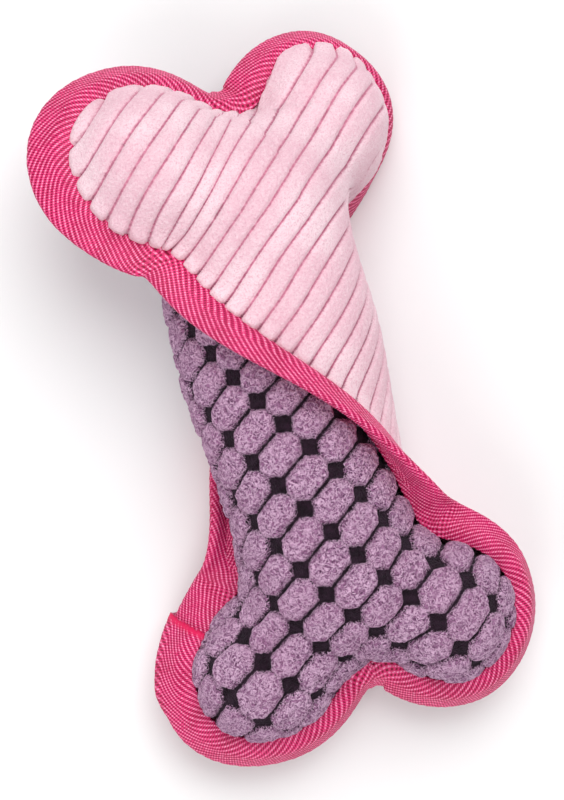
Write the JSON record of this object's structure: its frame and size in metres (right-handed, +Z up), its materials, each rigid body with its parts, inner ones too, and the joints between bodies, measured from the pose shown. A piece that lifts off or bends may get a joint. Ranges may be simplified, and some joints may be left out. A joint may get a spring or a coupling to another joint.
{
  "type": "squeaky dog toy",
  "caption": "Stuffed bone dog toy with a half twist: ribbed plush and tufted plush faces, a webbing-bound seam all round, and a press squeaker inside.",
  "frame": {"origin": "middle of the toy's box on the plane it lies on", "axes": "+Y along the bone towards the end whose ribbed face is up, +Z up, +X to the right seen from above"},
  "size_m": [0.1292, 0.2364, 0.0715],
  "materials": {
    "ribbed_plush": "wide-rib pale pink velour",
    "tufted_plush": "lilac bubble tufts on a dark plum ground",
    "webbing": "magenta woven webbing with pale flecks",
    "fibrefill": "white polyester fibre",
    "squeaker_plastic": "soft milky polythene",
    "whistle_plastic": "hard white plastic",
    "reed_film": "thin clear-yellow film"
  },
  "bodies": {
    "toy": {"ribbed_pink_panel": "ribbed_plush", "tufted_purple_panel": "tufted_plush", "edge_binding": "webbing", "upper_end_wad": "fibrefill", "lower_end_wad": "fibrefill", "front_squeaker_wad": "fibrefill", "back_squeaker_wad": "fibrefill", "squeaker_base": "squeaker_plastic", "whistle_sleeve": "whistle_plastic", "voicing_block": "whistle_plastic", "reed_clip": "whistle_plastic"},
    "squeaker_crown": {"squeaker_dome": "squeaker_plastic"},
    "reed": {"reed_strip": "reed_film"}
  },
  "joints": [
    {"name": "squeaker_press", "type": "slide", "parent": "toy", "child": "squeaker_crown", "axis": [0, 0, -1], "range_m": [0, 0.0055], "stiffness_N_per_m": 300},
    {"name": "reed_flutter", "type": "hinge", "parent": "toy", "child": "reed", "pos_m": [0.00299, -0.00018, 0.0224], "axis": [-1, 0, 0], "range_deg": [0, 6], "stiffness_Nm_per_rad": 0.00005}
  ]
}
